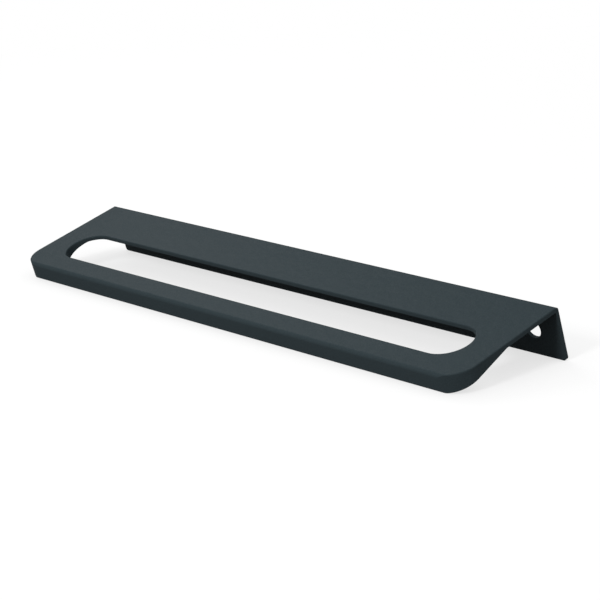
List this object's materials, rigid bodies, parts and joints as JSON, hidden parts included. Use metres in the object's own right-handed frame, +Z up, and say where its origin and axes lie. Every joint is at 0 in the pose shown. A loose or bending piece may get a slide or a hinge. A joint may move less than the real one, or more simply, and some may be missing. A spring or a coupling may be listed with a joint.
{
  "type": "edge pull handle",
  "caption": "Slim L-shaped edge pull for a drawer or door front, with a wedge grip bar, a long rounded finger slot and a screw flange.",
  "frame": {"origin": "midway between the two screw holes, on the face of the flange that bears on the back of the door", "axes": "+X along the pull, -Y out of the furniture towards the room, +Z up; the holes' axes run along Y"},
  "size_m": [0.1784, 0.0374, 0.015],
  "materials": {
    "powder_coat": "matte"
  },
  "bodies": {
    "root": {"edge_pull": "powder_coat"}
  },
  "joints": []
}
